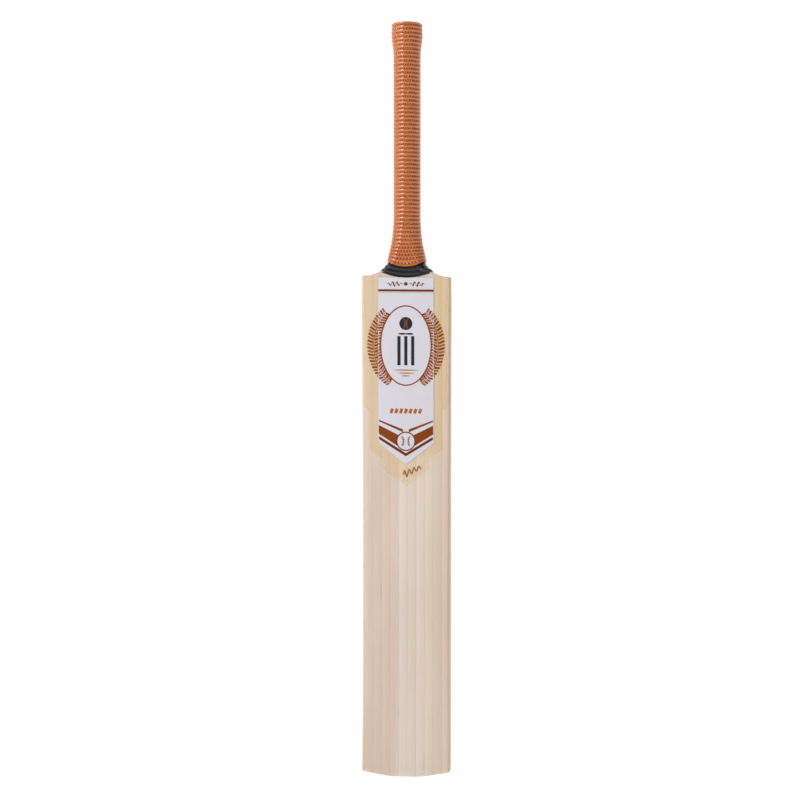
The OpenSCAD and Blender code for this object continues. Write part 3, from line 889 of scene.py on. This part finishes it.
def makeMedallion():
    # An oval ring round a ball over three stumps, with a crescent of blunt seam stitches each side.
    # The stitches lean along the crescent's own direction, and shrink by a cosine to its ends.
    brown, orange, black = [], [], []
    middle = medallion["z"]
    brown.append(stroke(arcPath(0, middle, *medallion["ringHalf"], 90, 450, 120), medallion["ringWide"]))
    for x in medallion["stumps"]:
        low, high = medallion["stumpZ"]
        black.append(stroke(line((x, low), (x, high), 16), medallion["stumpWide"]))
    for x in (-medallion["bailX"], medallion["bailX"]):
        bail = line((x - 4.4, medallion["bailZ"]), (x + 4.4, medallion["bailZ"]), 12)
        black.append(stroke(bail, tapered(12, 2.2, 0.35)))
    black.append(disc(0, medallion["ballZ"], medallion["ballRadius"]))
    for side, start, stop in ((-1, 50, -50), (1, 130, 230)):
        orange.append(stroke(arcPath(side * 9.5, medallion["ballZ"], 8.6, 9.6, start, stop, 16), 0.7))
    for z, half in medallion["ground"]:
        orange.append(stroke(line((-half, z), (half, z), 20), tapered(20, 1.3)))
    wide, tall = medallion["crescentHalf"]
    for side in (-1, 1):
        rim = arcPath(0, middle, side * wide, tall, -62, 52, 60)
        brown.append(stroke(rim, np.linspace(0.9, 0.6, 60)))
        for k, degrees in enumerate(np.linspace(-60, 50, medallion["stitches"])):
            angle = math.radians(degrees)
            base = np.array([side * wide * math.cos(angle), middle + tall * math.sin(angle)])
            way = np.array([-side * wide * math.sin(angle), tall * math.cos(angle)])
            way /= np.linalg.norm(way)
            out = np.array([way[1], -way[0]]) * side
            size = 0.55 + 0.45 * math.cos(math.radians(degrees * 1.35))
            for reach, ink in ((1, brown if k % 2 else orange), (-1, orange if k % 2 else brown)):
                near = base + out * reach * 0.9
                tip = near + (way * 2.6 + out * reach * medallion["stitchLong"]) * size
                ink.append(stroke(line(near, tip, 6), medallion["stitchWide"]))
    return brown, orange, black


footer = {
    "blocks": 7,
    "blockPitch": 5.5,
    "blockWide": 3.4,
    "blockZ": (421.3, 426.7),
    "ballZ": 388.9,
    "ballRadius": 10.6,
    "ringWide": 1.5,
    "thinZ": 413.0,  # each stripe's height at the label's edge
    "thinFall": 13.3,  # and how far it falls to the middle
    "bandZ": 397.6,
    "bandWide": 10.2,
    "veeZ": 393.3,
    "veeFall": 20,
    "veeHalf": 1.8,
    "penStart": (-3, 350),
    "penLong": 21,
    "penHigh": 4.4,
    "penRise": 9.5,
}


def makeFooter():
    # A row of plain blocks, the chevron stripes, a round ball mark between them and a pen's wave.
    brown, deep, orange = [], [], []
    low, high = footer["blockZ"]
    for k in range(footer["blocks"]):
        x = (k - footer["blocks"] // 2) * footer["blockPitch"]
        orange.append(stroke(line((x - 1, low), (x + 1, high), 6), footer["blockWide"]))
    half = label["half"]
    ballZ, radius = footer["ballZ"], footer["ballRadius"]
    for side in (-1, 1):
        # The thin stripe grows thicker inwards: half its width is 0.9 plus 0.9 of the way in.
        x = np.linspace(half, 3.4, 24)
        middle = footer["thinZ"] - footer["thinFall"] * (1 - x / half)
        thick = 0.9 + 0.9 * (1 - x / half)
        brown.append(ribbon(side * x, middle - thick, middle + thick))
        # The broad band ends against the ring of the ball mark: each line of it stops at the
        # circle's half width at about the height that it has come down to.
        s = np.linspace(0, 1, 9)
        edgeZ = footer["bandZ"] + footer["bandWide"] * s
        slope = 20.3 - 4.3 * s
        endX = np.sqrt(radius**2 - (edgeZ - 0.7 * slope - ballZ) ** 2)
        t = np.linspace(0, 1, 24)[:, None]
        x = half * (1 - t) + endX * t
        brown.append(inked(side * x, edgeZ - slope * (1 - x / half)))
        x = np.linspace(half, 0, 24)
        middle = footer["veeZ"] - footer["veeFall"] * (1 - x / half)
        deep.append(ribbon(side * x, middle - footer["veeHalf"], middle + footer["veeHalf"]))
    brown.append(stroke(arcPath(0, ballZ, radius, radius, 90, 450, 70), footer["ringWide"]))
    seamX, seamWide, seamTall = 11.2, 8.4, 9.0
    for side, start, stop in ((-1, 40, -40), (1, 140, 220)):
        seam = arcPath(side * seamX, ballZ, seamWide, seamTall, start, stop, 14)
        deep.append(stroke(seam, 0.8))
        for x, z in arcPath(side * seamX, ballZ, seamWide, seamTall, start, stop, 7)[1:-1]:
            orange.append(stroke(line((x - 1.6, z), (x + 1.6, z), 4), 0.8))
    t = np.linspace(0, 1, 80)
    penX, penZ = footer["penStart"]
    pen = np.stack([penX + footer["penLong"] * t, penZ + footer["penHigh"] * np.sin(t * 24) * (1 - 0.6 * t)
                    + footer["penRise"] * t], axis=-1)
    orange.append(stroke(pen, 1.2))
    return brown, deep, orange


headingDeep, headingBrown = makeHeading()
ringBrown, ringOrange, ringBlack = makeMedallion()
lowBrown, lowDeep, lowOrange = makeFooter()
for name, strokes, ink in (("brownPrint", headingBrown + ringBrown + lowBrown, brownInk),
                           ("deepBrownPrint", headingDeep + lowDeep, deepInk),
                           ("orangePrint", ringOrange + lowOrange, orangeInk),
                           ("blackPrint", ringBlack, blackInk)):
    addPiece(name, *joinParts(strokes), ink, sharp=60)
print("label and print made")

# The twine sleeve, wholly under the grip, keeps its CAD mesh and only gets its material.
for node in frame["nodes"].values():
    if not node.hide_render:
        node.data.materials.clear()
        node.data.materials.append(waxedTwine)

# The studio, in metres: a pale floor, a bright wall of light behind and a dim room in front, a narrow
# strip and a soft box on the left, and a broad weak fill on the right.
studio = {
    "floorHalf": 6.0,
    "floorColour": "#a8a8a8",
    "floorGlow": 0.82,  # makes the floor as white as the wall
    "wall": 1.05,  # brightness behind the bat
    "room": 0.12,  # brightness in front of it
    "cameraTurn": 5.0,
    "cameraFar": 2.0,
    "cameraHeight": 0.4361,
    "viewWidth": 0.9363,
    "shiftX": -0.0089,
    "shiftZ": 0.0008,
    "aimHeight": 0.45,  # the lights point at the middle of the bat
    "lights": {  # compass angle from the front, height, distance, width, height of the box, watts
        "stripLeft": (-36, 1.1, 1.6, 0.25, 2.1, 15),
        "softBoxLeft": (-60, 1.1, 1.6, 1.1, 2.1, 12),
        "fillRight": (62, 0.6, 1.8, 2.4, 2.4, 7),
    },
}


def addSoftBox(name, azimuth, height, far, wide, tall, watts):
    # An area light at a compass angle from the front, turned to face the middle of the bat.
    data = bpy.data.lights.new(name, "AREA")
    data.shape = "RECTANGLE"
    data.size, data.size_y = wide, tall
    data.energy = watts
    light = bpy.data.objects.new(name, data)
    angle = math.radians(azimuth)
    place = np.array([math.sin(angle) * far, -math.cos(angle) * far, height])
    aim = np.array([0, 0, studio["aimHeight"]]) - place
    light.location = place
    light.rotation_euler = (math.atan2(math.hypot(aim[0], aim[1]), -aim[2]), 0,
                            math.atan2(aim[1], aim[0]) - math.pi / 2)
    bpy.context.scene.collection.objects.link(light)


reach = studio["floorHalf"]
floorMesh = bpy.data.meshes.new("studioFloor")
floorMesh.from_pydata([(-reach, -reach, 0), (reach, -reach, 0), (reach, reach, 0), (-reach, reach, 0)],
                      [], [(0, 1, 2, 3)])
# Matt floor paint, with a glow that stands for the lamps over the floor.
floorPaint = newMaterial("paleFloorPaint", {
    "Base Color": srgb(studio["floorColour"]), "Roughness": 0.9, "Specular IOR Level": 0.0,
    "Emission Color": (1, 1, 1, 1), "Emission Strength": studio["floorGlow"]})[0]
floorMesh.materials.append(floorPaint)
floor = bpy.data.objects.new("studioFloor", floorMesh)
bpy.context.scene.collection.objects.link(floor)
for name, setting in studio["lights"].items():
    addSoftBox(name, *setting)

# The surround's light follows the compass direction, from the room in front to the wall behind.
world = bpy.data.worlds.new("studioSurround")
world.use_nodes = True
direction = addNode(world, "ShaderNodeTexCoord", out="Generated")
towardsWall = addNode(world, "ShaderNodeSeparateXYZ", {0: direction}, out="Y")
strength = addNode(world, "ShaderNodeMapRange", {
    "Value": towardsWall, "From Min": -0.1, "From Max": 0.4,
    "To Min": studio["room"], "To Max": studio["wall"]})
background = world.node_tree.nodes["Background"]
background.inputs["Color"].default_value = (1, 1, 1, 1)
world.node_tree.links.new(strength, background.inputs["Strength"])
bpy.context.scene.world = world

camera = bpy.data.objects.new("camera", bpy.data.cameras.new("camera"))
cameraAngle = math.radians(studio["cameraTurn"])
far = studio["cameraFar"]
camera.location = (math.sin(cameraAngle) * far, -math.cos(cameraAngle) * far, studio["cameraHeight"])
camera.rotation_euler = (math.pi / 2, 0, cameraAngle)
camera.data.lens = camera.data.sensor_width * far / studio["viewWidth"]
camera.data.shift_x = studio["shiftX"]
camera.data.shift_y = studio["shiftZ"]
bpy.context.scene.collection.objects.link(camera)
bpy.context.scene.camera = camera
bpy.context.scene.view_settings.view_transform = "Standard"
print("studio ready")

for obj in list(bpy.context.scene.objects):
    if obj.type == "MESH" and obj.parent is None and obj is not floor and not obj.hide_render:
        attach(obj, "root")
